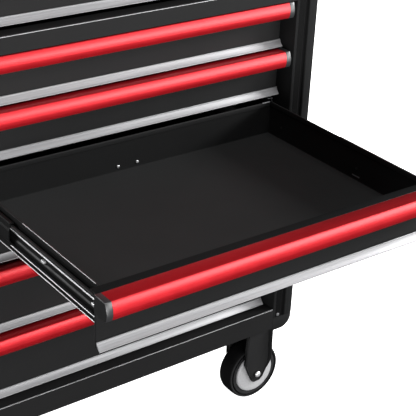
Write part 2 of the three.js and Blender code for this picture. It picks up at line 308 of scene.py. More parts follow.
def repaint(obj, material, picks):
    """Gives the faces that picks accepts a second material."""
    obj.data.materials.append(material)
    for polygon in obj.data.polygons:
        polygon.material_index = int(picks(polygon))


def put(obj, body, slot, *nodes):
    """Fixes a piece to a body and hides the CAD nodes it stands for. Its slot argument is not used.
    """
    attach(obj, body)
    if nodes:
        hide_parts(*nodes)
    return obj


AXES = {
    "x": lambda a, b, t: (t, a, b),
    "y": lambda a, b, t: (a, t, b),
    "z": lambda a, b, t: (a, b, t),
}


def vertex(bm, x, y, z):
    return bm.verts.new(Vector((x, y, z)) * MM)


def walls(bm, rings):
    """Joins each ring of vertices to the next."""
    for low, high in zip(rings, rings[1:]):
        for i in range(len(low)):
            j = (i + 1) % len(low)
            bm.faces.new((low[i], low[j], high[j], high[i]))


def tube(bm, rings):
    """Joins the rings of vertices, and closes the first and the last."""
    walls(bm, rings)
    bm.faces.new(rings[0])
    bm.faces.new(rings[-1])


def prism(name, loop, axis, start, end, material, sharp=32.0):
    """A closed outline drawn out along an axis. The outline is in the other two axes, in order."""
    bm = bmesh.new()
    place = AXES[axis]
    tube(bm, [[vertex(bm, *place(a, b, t)) for a, b in loop] for t in (start, end)])
    return new_object(name, bm, material, sharp)


def rod(name, centre, radius, axis, start, end, material):
    """A thin round bar along an axis."""
    return prism(name, arc(centre, radius, 0, 330, 11), axis, start, end, material, 60.0)


def block(name, low, high, material):
    """A box between two corners."""
    bm = bmesh.new()
    bmesh.ops.create_cube(bm, size=1.0)
    for v in bm.verts:
        v.co = Vector((low[k] if v.co[k] < 0 else high[k]) * MM for k in range(3))
    return new_object(name, bm, material)


def turned(name, profile, centre, axis, material, segments=96, sharp=30.0):
    """A closed (radius, along) outline turned round an axis through centre."""
    bm = bmesh.new()
    rings = []
    for radius, along in profile:
        ring = []
        for i in range(segments):
            a = math.tau * i / segments
            u, v = radius * math.cos(a), radius * math.sin(a)
            point = AXES[axis](u, v, along)
            ring.append(bm.verts.new((Vector(point) + Vector(centre)) * MM))
        rings.append(ring)
    walls(bm, rings + rings[:1])
    bmesh.ops.remove_doubles(bm, verts=bm.verts, dist=1e-7)
    return new_object(name, bm, material, sharp)


DOME_SIDES = 28
DOME_STEPS = 7
DOME_SUNK = 0.3


def dome(name, radius, height, base, direction, material, foot=0.6):
    """A domed head standing on base, towards direction: foot is its straight part, closed below."""
    levels = [(radius, -DOME_SUNK)]
    for k in range(DOME_STEPS):
        a = math.pi / 2 * k / DOME_STEPS
        levels.append((radius * math.cos(a), foot + (height - foot) * math.sin(a)))
    turn = Vector(direction).to_track_quat("Z", "Y").to_matrix()
    bm = bmesh.new()
    rings = []
    for r, h in levels:
        ring = []
        for i in range(DOME_SIDES):
            a = math.tau * i / DOME_SIDES
            p = turn @ Vector((r * math.cos(a), r * math.sin(a), h))
            ring.append(bm.verts.new((p + Vector(base)) * MM))
        rings.append(ring)
    walls(bm, rings)
    top = bm.verts.new((turn @ Vector((0, 0, height)) + Vector(base)) * MM)
    for i in range(DOME_SIDES):
        bm.faces.new((rings[-1][i], rings[-1][(i + 1) % DOME_SIDES], top))
    bm.faces.new(rings[0])
    return new_object(name, bm, material, 60.0)


def arc(centre, radius, start, end, steps):
    """Points of an arc, angles in degrees."""
    points = []
    for i in range(steps + 1):
        a = math.radians(start + (end - start) * i / steps)
        points.append((centre[0] + radius * math.cos(a), centre[1] + radius * math.sin(a)))
    return points


def fillet(points, radius, steps=4, closed=False):
    """Rounds the corners of a path."""
    out = []
    count = len(points)
    for i, p in enumerate(points):
        if not closed and i in (0, count - 1):
            out.append(tuple(p))
            continue
        here = Vector(p)
        before = Vector(points[i - 1]) - here
        after = Vector(points[(i + 1) % count]) - here
        half = before.angle(after) / 2
        reach = radius / math.tan(half) if half > 1e-3 else 0.0
        reach = min(reach, before.length * 0.48, after.length * 0.48)
        if reach < 1e-4 or abs(half - math.pi / 2) < 0.02:
            out.append(tuple(p))
            continue
        a = here + before.normalized() * reach
        b = here + after.normalized() * reach
        for k in range(steps + 1):
            t = k / steps
            out.append(tuple(a * (1 - t) ** 2 + here * 2 * t * (1 - t) + b * t * t))
    return out


def heading(path, i):
    """The direction of a path at its point i."""
    back, ahead = Vector(path[max(i - 1, 0)]), Vector(path[min(i + 1, len(path) - 1)])
    return (ahead - back).normalized()


def ribbon(path, thickness):
    """The closed outline of a sheet of that thickness, centred on an open path."""
    left, right = [], []
    for i, p in enumerate(path):
        d = heading(path, i)
        normal = Vector((-d.y, d.x))
        here = Vector(p)
        left.append(tuple(here + normal * thickness / 2))
        right.append(tuple(here - normal * thickness / 2))
    return left + right[::-1]


def corner(node, index):
    """The low (0) or high (1) corner of a CAD node's box, in millimetres."""
    return tuple(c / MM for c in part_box(node)[index])


# ------------------------------------------------------------------ drawers

STEEL = 1.2
DRAWERS = range(1, 8)
PANEL_HALF = corner("drawer_1_lip_trim", 1)[0]
GRIP_HALF = corner("drawer_1_handle", 1)[0]
CAP_WIDTH = 8.6
FOLD = 13.5
END_FOLD = 3.0
TRAY_HALF = 253.6
FLOOR_UP = 5.6  # the tray's floor, above the top of the trim
WALL_DOWN = 4.4  # the top of the tray's walls, below the top of the grip
SLOT = (149.0, 12.7, 15.0, 2.0)  # behind the front, above the trim, length, height
WALL_STUDS = ((149.0, 24.6), (316.0, 25.0))  # behind the front, above the trim
BACK_RIVETS = (-20.0, 12.0)
BACK_RIVET_UP = 14.4


def drawer_sizes(n):
    """A drawer's front plane and tray back in y, and its low, top, trim and grip tops in z."""
    tray_low, tray_high = corner(f"drawer_{n}_tray", 0), corner(f"drawer_{n}_tray", 1)
    return {
        "plane": tray_low[1],
        "back": tray_high[1],
        "low": tray_low[2],
        "top": tray_high[2],
        "trim": corner(f"drawer_{n}_lip_trim", 1)[2],
        "grip": corner(f"drawer_{n}_handle", 1)[2],
    }


def front_pan(n, d):
    """The drawer front: a sheet folded back along its top, with short returns at both ends."""
    bm = bmesh.new()
    x0, x1 = -PANEL_HALF, PANEL_HALF
    y0, y1, y2 = d["plane"], d["plane"] + END_FOLD, d["plane"] + FOLD
    z0, z1 = d["low"], d["top"]
    front = [(x0, y0, z0), (x1, y0, z0), (x1, y0, z1), (x0, y0, z1)]
    a, b, c, e = [vertex(bm, *p) for p in front]
    f, g, h, i = [vertex(bm, x, y1, z) for x, _, z in front]
    j, k = vertex(bm, x1 - 1.0, y2, z1), vertex(bm, x0 + 1.0, y2, z1)
    bm.faces.new((a, b, c, e))
    bm.faces.new((e, c, h, j, k, i))
    bm.faces.new((f, a, e, i))
    bm.faces.new((b, g, h, c))
    obj = new_object(f"drawer_{n}_front", bm, PAINT)
    bevel(obj, 1.3, 4)
    thicken(obj, STEEL)
    settle(obj)
    bevel(obj, 0.25, 2, 60.0)
    settle(obj)
    # Painted shade: the flat top of the fold takes the darker copy of the paint.
    shade_fold_low = (z1 - 3.0) * MM
    repaint(obj, FOLD_SHADE_PAINT, lambda p: p.normal.z > 0.9 and p.center.z > shade_fold_low)
    return put(obj, f"drawer_{n}", "black_paint", f"drawer_{n}_tray")


def tray_shell(n, d):
    """The drawer's floor, side walls and back, bent from one sheet, a slot in each side wall."""
    bm = bmesh.new()
    x0, x1 = -TRAY_HALF, TRAY_HALF
    y0, y1 = d["plane"] + STEEL + 0.2, d["back"]
    z0, z1 = d["trim"] + FLOOR_UP, d["grip"] - WALL_DOWN - STEEL
    floor_corners = [(x0, y0), (x1, y0), (x1, y1), (x0, y1)]
    a, b, c, e = [vertex(bm, x, y, z0) for x, y in floor_corners]
    f, g, h, i = [vertex(bm, x, y, z1) for x, y in floor_corners]
    bm.faces.new((a, b, c, e))
    bm.faces.new((a, e, i, f))
    bm.faces.new((b, g, h, c))
    bm.faces.new((e, c, h, i))
    bm.normal_update()
    obj = new_object(f"drawer_{n}_tray_shell", bm, TRAY_SHADE_PAINT)
    bevel(obj, 2.2, 4)
    thicken(obj, STEEL)
    settle(obj)
    behind, up, length, tall = SLOT
    y, z = d["plane"] + behind, d["trim"] + up
    cutters = []
    for word, side in SIDES:
        low = (side * TRAY_HALF - 3, y - length / 2, z - tall / 2)
        high = (side * TRAY_HALF + 3, y + length / 2, z + tall / 2)
        cutters.append(block(f"slot_{n}_{word}", low, high, TRAY_SHADE_PAINT))
    cut(obj, *cutters)
    # Painted light: the tray's floor, facing up, takes the lighter copy of the paint.
    lit_floor_high = (z0 + 3.0) * MM
    repaint(obj, UPWARD_LIT_PAINT, lambda p: p.normal.z > 0.9 and p.center.z < lit_floor_high)
    put(obj, f"drawer_{n}", "black_paint")


def wall_fittings(n, d):
    """The hook that fills each side wall's slot, and the blind studs beside it."""
    behind, up, length, _ = SLOT
    y, z = d["plane"] + behind, d["trim"] + up
    for word, side in SIDES:
        ends = sorted((side * (TRAY_HALF - 1.5), side * (TRAY_HALF + 0.7)))
        hook = block(
            f"drawer_{n}_wall_hook_{word}",
            (ends[0], y - length / 2 - 0.2, z - 1.1),
            (ends[1], y + length / 2 + 0.2, z + 1.1),
            DULL,
        )
        bevel(hook, 0.4, 2)
        put(settle(hook), f"drawer_{n}", "zinc_steel")
        for k, (stud_behind, stud_up) in enumerate(WALL_STUDS):
            base = (side * (TRAY_HALF - STEEL), d["plane"] + stud_behind, d["trim"] + stud_up)
            name = f"drawer_{n}_wall_stud_{word}_{k}"
            put(dome(name, 1.9, 0.9, base, (-side, 0, 0), PLUG, 0.2), f"drawer_{n}", "black_paint")


HEM_SECTION = ((-1.5, -7.0), (-1.5, 0.0), (1.1, 0.0), (1.1, -7.0), (0.3, -7.0), (-0.7, -7.0))
HEM_HIGHLIGHT = (24.0, 190.0)  # where the painted highlight along the hem starts and ends, behind the front; it stops where the cabinet shades the hem
HEM_HIGHLIGHT_R = 0.62
HEM_DASH = (236.0, 250.0)  # where the short light-grey rods along the back hem, near its corners, start and end, from the middle
HEM_DASH_R = 0.8


def wall_hem(n, d):
    """The hem rolled along the tops of the side walls and the back, with painted highlights along
    its sides and short light-grey rods at its back corners.
    """
    z = d["grip"] - WALL_DOWN
    y0, y1 = d["plane"] + FOLD - 0.4, d["back"] - 0.2
    x = TRAY_HALF - 0.1
    path = fillet([(-x, y0), (-x, y1), (x, y1), (x, y0)], 2.0, 3)
    section = fillet(HEM_SECTION, 1.2, 4, closed=True)
    bm = bmesh.new()
    rings = []
    for i, p in enumerate(path):
        t = heading(path, i)
        inward = Vector((t.y, -t.x))
        ring = []
        for out, up in section:
            q = Vector(p) + inward * (out + 0.9)
            ring.append(vertex(bm, q.x, q.y, z + up))
        rings.append(ring)
    tube(bm, rings)
    obj = new_object(f"drawer_{n}_wall_hem", bm, PAINT, 40.0)
    put(obj, f"drawer_{n}", "black_paint")
    for word, side in SIDES:
        centre = (side * (x + 0.5), z - 0.25)
        # Painted highlight: a bright rod along each side of the hem.
        ends = [d["plane"] + behind for behind in HEM_HIGHLIGHT]
        edge = rod(f"drawer_{n}_hem_highlight_{word}", centre, HEM_HIGHLIGHT_R, "y", *ends, EDGE_HIGHLIGHT)
        put(edge, f"drawer_{n}", "zinc_steel")
        # Short light-grey rods, drawn as bright dashes at the hem's back corners.
        ends = sorted(side * end for end in HEM_DASH)
        centre = (y1 - 2.2, z + 0.1)
        dash = rod(f"drawer_{n}_hem_dash_{word}", centre, HEM_DASH_R, "x", *ends, DULL)
        put(dash, f"drawer_{n}", "zinc_steel")


# The grip's front face: (in front of the drawer front, below its top).
GRIP_FRONT = (
    (22.0, 0.0),
    (23.1, -0.8),
    (24.9, -4.8),
    (26.1, -8.8),
    (26.7, -12.6),
    (26.8, -15.2),
    (26.2, -19.0),
    (24.6, -22.8),
)


def smooth_curve(points, steps):
    """A Catmull-Rom curve through the points."""
    out = []
    count = len(points)
    for i in range(count - 1):
        p0, p1 = Vector(points[max(i - 1, 0)]), Vector(points[i])
        p2, p3 = Vector(points[i + 1]), Vector(points[min(i + 2, count - 1)])
        bend = 2 * p0 - 5 * p1 + 4 * p2 - p3
        twist = 3 * p1 - p0 - 3 * p2 + p3
        for k in range(steps):
            t = k / steps
            out.append(tuple(0.5 * (2 * p1 + (p2 - p0) * t + bend * t * t + twist * t ** 3)))
    out.append(tuple(points[-1]))
    return out


def grip_outline(plane, top, solid):
    """Section of the hooded grip in (y, z); solid for its end caps."""
    outer = [(1.0, -0.4), (2.0, 0.0)] + smooth_curve(GRIP_FRONT, 3)
    outer += [(22.6, -24.0), (21.4, -24.4)]
    if solid:
        inner = [(19.5, -23.6), (1.0, -23.6)]
    else:
        inner = [(20.8, -23.6)]
        inner += [(f - 2.3, h) for f, h in smooth_curve(GRIP_FRONT, 3)[::-1] if h < -3.0]
        inner += [(20.6, -2.4), (3.4, -2.4), (3.4, -23.9), (0.6, -23.9)]
    return [(plane - f, top + h) for f, h in outer + inner]


CAP_MIDDLE = 12.0  # the middle of an end cap, in front of the drawer front and below the top
CAP_PROUD = 1.012  # how much bigger an end cap is than the grip's section


def grip(n, d):
    """The red extruded grip and its two end caps."""
    body = f"drawer_{n}"
    reach = GRIP_HALF - CAP_WIDTH
    outline = grip_outline(d["plane"], d["grip"], False)
    obj = prism(f"drawer_{n}_grip", outline, "x", -reach, reach, RED, 28.0)
    put(obj, body, "red_aluminium", f"drawer_{n}_handle")
    cap_loop = grip_outline(d["plane"], d["grip"], True)
    middle = Vector((d["plane"] - CAP_MIDDLE, d["grip"] - CAP_MIDDLE))
    grown = [tuple(middle + (Vector(p) - middle) * CAP_PROUD) for p in cap_loop]
    for word, side in SIDES:
        ends = sorted((side * reach, side * GRIP_HALF))
        cap = prism(f"drawer_{n}_grip_cap_{word}", grown, "x", *ends, CAP, 28.0)
        bevel(cap, 0.7, 3, 50.0)
        settle(cap)
        # Painted shade: the caps' flat ends take the darker, duller copy of the plastic.
        repaint(cap, CAP_END_SHADE, lambda p: abs(p.normal.x) > 0.9)
        put(cap, body, "guard_plastic")


def faces_away(polygon):
    """Whether a face of the trim looks down or back, and is not one of its ends: these faces are
    painted in shade.
    """
    away = polygon.normal.z < -0.35 or polygon.normal.y > 0.3
    return away and abs(polygon.normal.x) < 0.5


def lip_trim(n, d):
    """The flared bright trim under a drawer front."""
    face = [(1.8, -0.2), (2.2, -0.7), (2.1, -1.3)]
    face += smooth_curve([(2.2, -1.7), (3.1, -3.2), (4.6, -5.4), (6.3, -7.5), (7.5, -8.7)], 4)
    face += [(8.0, -8.9), (8.3, -9.4)]
    back = smooth_curve([(7.2, -10.3), (4.8, -8.4), (2.6, -5.6), (1.0, -3.0)], 4)
    loop = [(0.5, 0.0), (1.2, 0.1)] + face + [(8.3, -10.0), (8.0, -10.5)] + back
    outline = [(d["plane"] - f, d["trim"] + h) for f, h in loop]
    obj = prism(f"drawer_{n}_trim", outline, "x", -PANEL_HALF, PANEL_HALF, TRIM, 40.0)
    bevel(obj, 0.3, 2, 45.0)
    settle(obj, 40.0)
    # Painted shade: the trim's faces that look down or back take the near-black copy of its metal.
    repaint(obj, TRIM_SHADE, faces_away)
    put(obj, f"drawer_{n}", "brushed_aluminium", f"drawer_{n}_lip_trim")


def rail_section(side, z, web, raceway, tip, half, lip):
    """Section in (x, z) of a rolled ball-slide rail: recessed web, two raceways, curled lips."""
    upper = [
        (tip, half - lip),
        (tip, half - 0.6),
        (raceway, half - 0.6),
        (raceway, half * 0.55),
        (web, half * 0.38),
    ]
    path = upper + [(x, -h) for x, h in upper[::-1]]
    whole = fillet(path, 1.5, 4)
    return [(side * x, z + h) for x, h in ribbon(whole, STEEL)]


RAIL_UP = 35.0  # the slide's middle, above the top of the trim
RAIL_LENGTH = 343.0
RAIL_WEB = 254.6
# What rail_section takes after its height: web, raceway, tip, half of its height, lip.
DRAWER_RAIL = (RAIL_WEB, 257.0, 261.0, 13.5, 3.6)
MIDDLE_RAIL = (263.6, 261.9, 257.4, 17.4, 2.2)
RAIL_TABS = (23.0, 136.0)  # behind the front
# Painted highlights, as bright rods along a rail where its bends catch the light: x, above the
# slide's middle, radius.
RAIL_HIGHLIGHTS = (
    (261.1, 10.2, 0.7),
    (256.3, 3.4, 0.9),
    (256.6, -8.2, 0.8),
    (261.1, -13.1, 0.9),
    (256.2, -25.9, 0.8),
)


def slide_rails(n, d):
    """The drawer rail on the tray and the middle rail between it and the cabinet."""
    z = d["trim"] + RAIL_UP
    y0, y1 = d["plane"] + STEEL + 0.4, d["plane"] + RAIL_LENGTH
    for word, side in SIDES:
        outline = rail_section(side, z, *DRAWER_RAIL)
        # Painted shade: the rail body is near-black, and its faces that look sideways take the
        # blacker copy.
        rail = prism(f"drawer_{n}_rail_{word}", outline, "y", y0, y1, RAIL)
        repaint(rail, RAIL_SHADE, lambda p: abs(p.normal.x) > 0.7)
        put(rail, f"drawer_{n}", "zinc_steel")
        for k, (x, up, radius) in enumerate(RAIL_HIGHLIGHTS):
            name = f"drawer_{n}_rail_edge_{word}_{k}"
            edge = rod(name, (side * x, z + up), radius, "y", y0, y1, RAIL_HIGHLIGHT)
            put(edge, f"drawer_{n}", "zinc_steel")
        # The rail's foot is in the blacker copy too, painted shade.
        foot = fillet([(254.5, 7.4), (254.5, 4.0), (256.4, 4.0)], 0.8, 4)
        outline = [(side * x, d["trim"] + 5.0 + h) for x, h in ribbon(foot, 1.0)]
        bracket = prism(f"drawer_{n}_rail_foot_{word}", outline, "y", y0, y1, RAIL_SHADE)
        put(bracket, f"drawer_{n}", "zinc_steel")
        node = f"drawer_{n}_slide_{word}"
        outline = rail_section(side, z, *MIDDLE_RAIL)
        ends = (corner(node, 0)[1], corner(node, 1)[1])
        # Painted shade: the middle rail is all in the blacker copy.
        middle = prism(f"drawer_{n}_middle_rail_{word}", outline, "y", *ends, RAIL_SHADE)
        put(middle, f"drawer_{n}_slides", "zinc_steel", node)
        for k, behind in enumerate(RAIL_TABS):
            y = d["plane"] + behind
            ends = sorted((side * RAIL_WEB, side * 259.0))
            name = f"drawer_{n}_rail_tab_{word}_{k}"
            tab = block(name, (ends[0], y - 3.4, z - 4.4), (ends[1], y + 3.4, z - 0.6), CHROME)
            bevel(tab, 0.9, 3)
            settle(tab)
            put(tab, f"drawer_{n}", "zinc_steel")


def tray_rivets(n, d):
    """Two bright rivets low on the tray's back wall."""
    for k, x in enumerate(BACK_RIVETS):
        base = (x, d["back"] - STEEL, d["trim"] + BACK_RIVET_UP)
        rivet = dome(f"drawer_{n}_rivet_{k}", 2.2, 1.3, base, (0, -1, 0), CHROME)
        put(rivet, f"drawer_{n}", "zinc_steel")


for number in DRAWERS:
    sizes = drawer_sizes(number)
    front_pan(number, sizes)
    tray_shell(number, sizes)
    wall_fittings(number, sizes)
    wall_hem(number, sizes)
    grip(number, sizes)
    lip_trim(number, sizes)
    slide_rails(number, sizes)
    tray_rivets(number, sizes)

# ------------------------------------------------------------ cabinet body

PLINTH_TOP_Z = 173.6
GUARD_IN, GUARD_FRONT, GUARD_LOW = corner("corner_guard_right", 0)
GUARD_OUT, GUARD_BACK, GUARD_HIGH = corner("corner_guard_right", 1)
BEAD = 5.0  # width of the bead along a guard's inner edge
RIB = 1.7  # pitch of its ribs
GUARD_ROUND = 19.0  # radius of its outer corner
GUARD_RIVET_R = 3.0
PLUG_TOP = GUARD_LOW + 26.0
PLUG_ROUND = 20.4  # radius of the foot's outer corner
PLUG_PROUD = 0.2
PLUG_RADIUS = 18.0  # radius underneath
PLUG_STEPS = 9


def guard_outline():
    """Section of the right corner guard in (x, y): edge bead, ribbed band, groove, round corner."""
    front, band_end, radius = GUARD_FRONT, GUARD_IN + 18.5, GUARD_ROUND
    face = [(GUARD_IN, GUARD_BACK), (GUARD_IN, front + 3.0)]
    face += [(GUARD_IN + 0.8, front + 1.1), (GUARD_IN + 2.4, front + 0.3)]
    face += [(GUARD_IN + BEAD - 0.8, front + 0.2), (GUARD_IN + BEAD, front + 0.9)]
    x = GUARD_IN + BEAD + 0.4
    while x + RIB < band_end - 1.0:
        face += [(x, front + 2.0), (x + RIB * 0.5, front + 1.7)]
        x += RIB
    face += [(band_end - 0.8, front + 2.1), (band_end + 1.4, front + 3.7)]
    face += [(band_end + 4.4, front + 3.6)]
    face += [(band_end + 6.2, front + 1.1), (band_end + 7.4, front + 0.2)]
    face += arc((GUARD_OUT - radius, front + radius), radius, -89, 0, 12)
    face += [(GUARD_OUT, GUARD_BACK)]
    inner = [(GUARD_OUT - 2.4, GUARD_BACK), (GUARD_OUT - 2.4, front + radius)]
    inner += arc((GUARD_OUT - radius, front + radius), radius - 4.2, 0, -90, 8)
    inner += [(GUARD_IN + 2.6, front + 5.6), (GUARD_IN + 2.6, GUARD_BACK)]
    return face + inner


def in_band(polygon):
    """Whether a face of a guard is in its recessed, ribbed band, which is painted darker as shade.
    """
    place = polygon.center / MM
    return GUARD_IN + BEAD < abs(place.x) < GUARD_IN + 24.6 and place.y < GUARD_FRONT + 4.0


def plug_outline():
    """Section of a guard's moulded foot in (x, y), a little prouder than the guard."""
    front, outside, radius = GUARD_FRONT - 0.1, GUARD_OUT + PLUG_PROUD, PLUG_ROUND
    loop = [(GUARD_IN, GUARD_BACK), (GUARD_IN, front + 3.0), (GUARD_IN + 1.6, front + 0.8)]
    loop += [(GUARD_IN + 4.0, front)]
    loop += arc((outside - radius, front + radius), radius, -90, 0, 12)
    loop += [(outside, GUARD_BACK)]
    return loop


def end_plug(name, side, outline):
    """The moulded foot that closes a guard, rounded off underneath."""
    bm = bmesh.new()
    anchor = Vector((GUARD_IN, GUARD_BACK))
    width, depth = GUARD_OUT - GUARD_IN, GUARD_BACK - GUARD_FRONT
    levels = [(PLUG_TOP - GUARD_LOW, 0.5), (PLUG_TOP - GUARD_LOW - 0.8, 0.0)]
    for k in range(PLUG_STEPS + 1):
        a = math.pi / 2 * k / PLUG_STEPS
        up, inset = PLUG_RADIUS * (1 - math.sin(a)), PLUG_RADIUS * (1 - math.cos(a))
        levels.append((up, inset))
    rings = []
    for up, inset in levels:
        ring = []
        for x, y in outline:
            run = Vector((x, y)) - anchor
            shrunk = Vector((run.x * (1 - inset / width), run.y * (1 - inset * 0.2 / depth)))
            q = anchor + shrunk
            ring.append(vertex(bm, side * q.x, q.y, GUARD_LOW + up))
        rings.append(ring)
    tube(bm, rings[::-1])
    bmesh.ops.remove_doubles(bm, verts=bm.verts, dist=1e-6)
    return put(new_object(name, bm, PLUG, 40.0), "cabinet", "guard_plastic")


for word, side in SIDES:
    loop = [(side * x, y) for x, y in guard_outline()]
    post = prism(f"guard_{word}", loop, "z", PLUG_TOP - 0.4, GUARD_HIGH, GUARD, 30.0)
    # Painted shade: the recessed band takes the darker copy of the guard's plastic.
    repaint(post, GUARD_BAND_SHADE, in_band)
    put(post, "cabinet", "guard_plastic", f"corner_guard_{word}")
    end_plug(f"guard_plug_{word}", side, plug_outline())
    for k, z in enumerate((PLUG_TOP + 5.5, GUARD_HIGH - 30.0)):
        base = (side * (GUARD_IN + 10.0), GUARD_FRONT + (0.2 if k == 0 else 1.9), z)
        rivet = dome(f"guard_rivet_{word}_{k}", GUARD_RIVET_R, 1.5, base, (0, -1, 0), DULL)
        put(rivet, "cabinet", "zinc_steel")


def fold_highlight(name, y, z, half):
    """Painted highlight: a bright line of light metal along a front fold."""
    loop = arc((y + 0.8, z - 0.8), 0.95, 85, 185, 8) + [(y + 0.4, z - 1.2), (y + 1.2, z - 0.4)]
    bead = prism(name, loop, "x", -half, half, EDGE_HIGHLIGHT, 60.0)
    put(bead, "cabinet", "zinc_steel")


rail_half, _, rail_top = corner("mid_rail", 1)
fold_highlight("mid_rail_fold", corner("mid_rail", 0)[1], rail_top, rail_half)
fold_highlight("plinth_fold", corner("base_pan", 0)[1], PLINTH_TOP_Z, GUARD_IN - 1.5)

SCREW_R, SCREW_UP = 4.0, 0.9
SCREW_ROWS = 5
ROW_MARGIN = 22.0  # the first and last rows, from the back panel's ends
BACK_SCREW_IN = 14.0  # from the back panel's side edges
SIDE_SCREW_IN = 16.0  # from the side panels' rear edges
TOP_SCREWS_OUT = 0.72  # of the back panel's half width


def screw(name, base, direction):
    head = dome(name, SCREW_R, SCREW_UP, base, direction, DULL, 0.3)
    put(head, "cabinet", "zinc_steel")


def panel_screws():
    """Flat-headed screws that hold the back panel and the rear edges of the side panels."""
    back_low, back_high = corner("back_panel", 0), corner("back_panel", 1)
    side_high = corner("side_panel_right", 1)
    first, span = back_low[2] + ROW_MARGIN, back_high[2] - back_low[2] - 2 * ROW_MARGIN
    rows = [first + span * k / (SCREW_ROWS - 1) for k in range(SCREW_ROWS)]
    back_y = back_high[1] - 0.1
    for word, side in SIDES:
        for k, z in enumerate(rows):
            base = (side * (back_high[0] - BACK_SCREW_IN), back_y, z)
            screw(f"back_screw_{word}_{k}", base, (0, 1, 0))
            base = (side * (side_high[0] - 0.1), side_high[1] - SIDE_SCREW_IN, z)
            screw(f"side_screw_{word}_{k}", base, (side, 0, 0))
    for k, across in enumerate((-1, 0, 1)):
        base = (TOP_SCREWS_OUT * back_high[0] * across, back_y, rows[-1])
        screw(f"back_screw_top_{k}", base, (0, 1, 0))


panel_screws()

# CAD nodes that show as they are: their paint, and how far their edges are rounded.
CARRIED = {
    "side_panel_left": (SIDE_PAINT, 0.4),
    "side_panel_right": (SIDE_PAINT, 0.4),
    "back_panel": (SIDE_PAINT, 0.4),
    "base_pan": (PAINT, 0.7),
    "mid_rail": (PAINT, 0.7),
    # The top panel takes the lighter copy of the paint, painted light for a face that looks up.
    "top_panel": (UPWARD_LIT_PAINT, 1.6),
    "inner_wall_left": (RACK, 0.2),
    "inner_wall_right": (RACK, 0.2),
    "swivel_plate_front": (FORK, 0.5),
    "swivel_plate_rear": (FORK, 0.5),
    "swivel_fork_front": (FORK, 0.6),
    "swivel_fork_rear": (FORK, 0.6),
    "brake_pedal_front": (PEDAL, 1.2),
    "brake_pedal_rear": (PEDAL, 1.2),
}
for node, (material, width) in CARRIED.items():
    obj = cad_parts[node]
    obj.data.materials.clear()
    obj.data.materials.append(material)
    bevel(obj, width, 3, 40.0)

# ----------------------------------------------------------------- casters

WHEEL_R = 51.0
HUB_R = 37.2
TYRE_HALF = 16.0
GROOVE = (43.5, 46.3)  # radii between which the tyre's side is grooved and painted in shade
LEG_INNER = 20.0
LEG_OUTER = 23.0
RIM_LOW, RIM_HIGH = 44.0, 90.0  # the heights between which a leg's turned edge deepens
RIM_LEAST, RIM_MORE = 0.9, 5.0
RIM_SHEET = 2.2
NUT_R, NUT_UP = 6.6, 3.2
AXLE_R = 5.0
PLATE_HALF = (21.0, 22.0)
PLATE_THICK = 3.0


def mirrored(side):
    """A (radius, along) outline closed with its own mirror image."""
    return side + [(r, -a) for r, a in side[::-1]]


def wheel(word, node):
    """Tyre and hub of a caster wheel."""
    centre = tuple((a + b) / 2 for a, b in zip(corner(node, 0), corner(node, 1)))
    edge = TYRE_HALF
    side = [(HUB_R, edge - 2.6), (HUB_R + 0.2, edge - 0.6), (38.6, edge - 0.1), (43.4, edge - 0.3)]
    side += [(44.3, edge - 2.6), (45.5, edge - 2.6), (46.4, edge - 0.3), (48.2, edge)]
    side += [(49.4, edge - 1.1), (50.3, edge - 3.4), (50.8, edge - 7.0), (WHEEL_R, edge - 12.0)]
    tyre = turned(f"{word}_tyre", mirrored(side), centre, "y", TYRE)

    def tread_or_groove(polygon):
        place = polygon.center / MM - Vector(centre)
        groove = GROOVE[0] < math.hypot(place.x, place.z) < GROOVE[1]
        return groove or abs(polygon.normal.y) < 0.4

    # Painted shade: the tread and the groove take the darker copy of the rubber.
    repaint(tyre, TYRE_SHADE, tread_or_groove)
    put(tyre, node, "grey_tyre", node)
    face = [(5.4, 18.3), (6.0, 18.8), (14.0, 18.8), (14.8, 18.2), (16.0, 18.2), (16.8, 18.7)]
    face += [(30.0, 18.5), (34.4, 18.0), (36.2, 17.0), (36.9, 15.4), (36.9, 13.0)]
    hub = turned(f"{word}_hub", mirrored(face), centre, "y", HUB)
    put(hub, node, "grey_tyre")
    return centre


def leg_outline(cx, top, under):
    """Silhouette of a rigid fork leg in (x, z), rounded at its foot."""
    points = [
        (cx - 23.3, top),
        (cx - 25.8, WHEEL_R + 56.0),
        (cx - 26.4, WHEEL_R + 24.0),
        (cx - 18.0, WHEEL_R + 4.0),
        (cx - 9.4, WHEEL_R - 12.6),
        (cx - 4.5, WHEEL_R - 15.6),
        (cx + 7.0, WHEEL_R - 15.0),
        (cx + 13.6, WHEEL_R - 8.6),
        (cx + 19.0, WHEEL_R + 5.0),
        (cx + 23.6, WHEEL_R + 15.5),
        (cx + 25.5, WHEEL_R + 26.0),
        (cx + 23.4, WHEEL_R + 57.0),
        (cx + 22.6, under),
        (cx + 21.0, under),
        (cx + 21.0, top),
    ]
    return fillet(points, 5.0, 5, True)


def leg_rim(name, cx, cy, under, sign):
    """The edge turned outwards round a fork leg, deepest near the top."""
    path = [p for p in leg_outline(cx, under + 6.0, under + 4.0) if p[1] < under]
    path = [(cx - 23.6, under + 3.0)] + path + [(cx + 22.9, under + 3.0)]
    bm = bmesh.new()
    rings = []
    for i, p in enumerate(path):
        t = heading(path, i)
        outward = Vector((t.y, -t.x))
        lift = min(max((p[1] - RIM_LOW) / (RIM_HIGH - RIM_LOW), 0.0), 1.0)
        deep = RIM_LEAST + RIM_MORE * lift * lift * (3 - 2 * lift)
        across = [
            (-1.1, LEG_OUTER - 0.8),
            (-0.9, LEG_OUTER + deep * 0.4),
            (deep * 0.42 - 1.0, LEG_OUTER + deep),
        ]
        ring = []
        for out, v in ribbon(across, RIM_SHEET):
            q = Vector(p) + outward * out
            ring.append(vertex(bm, q.x, cy + sign * v, q.y))
        rings.append(ring)
    tube(bm, rings)
    return new_object(name, bm, FORK, 40.0)


